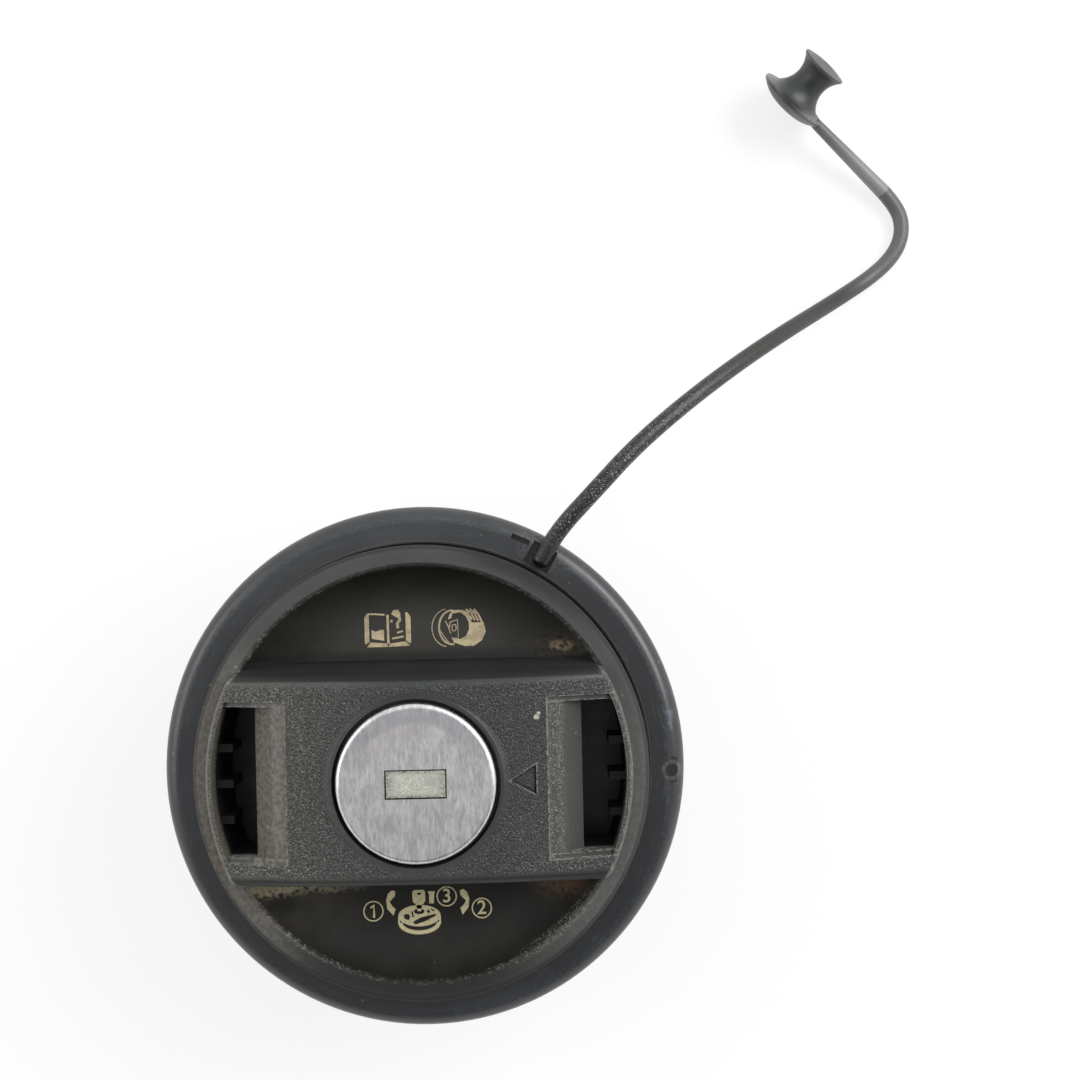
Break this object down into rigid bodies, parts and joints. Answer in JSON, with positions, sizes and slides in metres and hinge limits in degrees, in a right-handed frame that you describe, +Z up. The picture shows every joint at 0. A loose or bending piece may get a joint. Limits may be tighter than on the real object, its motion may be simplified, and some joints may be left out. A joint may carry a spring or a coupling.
{
  "type": "fuel filler cap",
  "caption": "Locking fuel filler cap with a grip bar, bayonet closure, gasket, relief valves and a moulded tether ending in a push-in plug.",
  "frame": {"origin": "on the cap's axis, at the foot of the closure, where the cap stands", "axes": "+Z up along the cap's axis through the lock; X along the grip bar, with the pointer mark at +X; Y across the bar"},
  "size_m": [0.1273, 0.1607, 0.0494],
  "materials": {
    "black_nylon": "satin moulded, black",
    "dark_grey_cover": "satin moulded, dusty dark grey",
    "charcoal_collar": "satin moulded, charcoal",
    "tether_rubber": "scuffed black",
    "tether_plug_rubber": "scuffed dark grey",
    "gasket_rubber": "matte",
    "valve_plastic": "natural moulded",
    "brushed_disc": "brushed, scratched",
    "shutter_steel": "dull, speckled",
    "die_cast_zinc": "as cast",
    "spring_steel": "drawn wire",
    "wafer_brass": "stamped"
  },
  "bodies": {
    "closure": {"closure": "black_nylon", "drive_ring": "black_nylon", "neck_gasket": "gasket_rubber", "valve_cage": "black_nylon", "pressure_spring": "spring_steel"},
    "pressure_valve": {"pressure_valve": "valve_plastic", "pressure_seal": "gasket_rubber", "vacuum_spring": "spring_steel"},
    "vacuum_valve": {"vacuum_valve": "gasket_rubber", "vacuum_washer": "valve_plastic"},
    "grip": {"cover": "dark_grey_cover", "lock_housing": "black_nylon", "bolt_guide": "black_nylon", "guide_screws": "spring_steel"},
    "lock": {"barrel": "die_cast_zinc", "lock_face": "brushed_disc", "barrel_clip": "spring_steel", "dust_ring": "gasket_rubber", "shutter_pin": "spring_steel", "shutter_spring": "spring_steel", "wafer_springs": "spring_steel"},
    "shutter": {"key_shutter": "shutter_steel"},
    "wafer_stack": {"wafers": "wafer_brass"},
    "bolt": {"bolt": "die_cast_zinc"},
    "collar": {"collar": "charcoal_collar", "tether_end": "tether_rubber", "tether_cord": "tether_rubber", "tether_anchor": "tether_plug_rubber"}
  },
  "joints": [
    {"name": "grip_turn", "type": "hinge", "parent": "closure", "child": "grip", "pos_m": [0, 0, 0.03], "axis": [0, 0, 1], "continuous": true},
    {"name": "collar_turn", "type": "hinge", "parent": "grip", "child": "collar", "pos_m": [0, 0, 0.0295], "axis": [0, 0, 1], "continuous": true},
    {"name": "lock_turn", "type": "hinge", "parent": "grip", "child": "lock", "pos_m": [0, 0, 0.04], "axis": [0, 0, 1], "range_deg": [0, 90]},
    {"name": "bolt_slide", "type": "slide", "parent": "grip", "child": "bolt", "axis": [0, 1, 0], "range_m": [0, 0.00283]},
    {"name": "shutter_swing", "type": "hinge", "parent": "lock", "child": "shutter", "pos_m": [0, 0.0014, 0.0482], "axis": [1, 0, 0], "range_deg": [0, 80], "stiffness_Nm_per_rad": 0.0005, "springref_deg": -17.19},
    {"name": "wafer_slide", "type": "slide", "parent": "lock", "child": "wafer_stack", "axis": [1, 0, 0], "range_m": [0, 0.0007]},
    {"name": "pressure_lift", "type": "slide", "parent": "closure", "child": "pressure_valve", "axis": [0, 0, 1], "range_m": [0, 0.002], "stiffness_N_per_m": 300, "springref_m": -0.0127, "deforming": ["pressure_spring"]},
    {"name": "vacuum_drop", "type": "slide", "parent": "pressure_valve", "child": "vacuum_valve", "axis": [0, 0, 1], "range_m": [-0.001, 0], "stiffness_N_per_m": 100, "springref_m": 0.002, "deforming": ["vacuum_spring"]}
  ],
  "couplings": [
    {"joint": "bolt_slide", "follows": "lock_turn", "m_per_rad": 0.0018006}
  ]
}
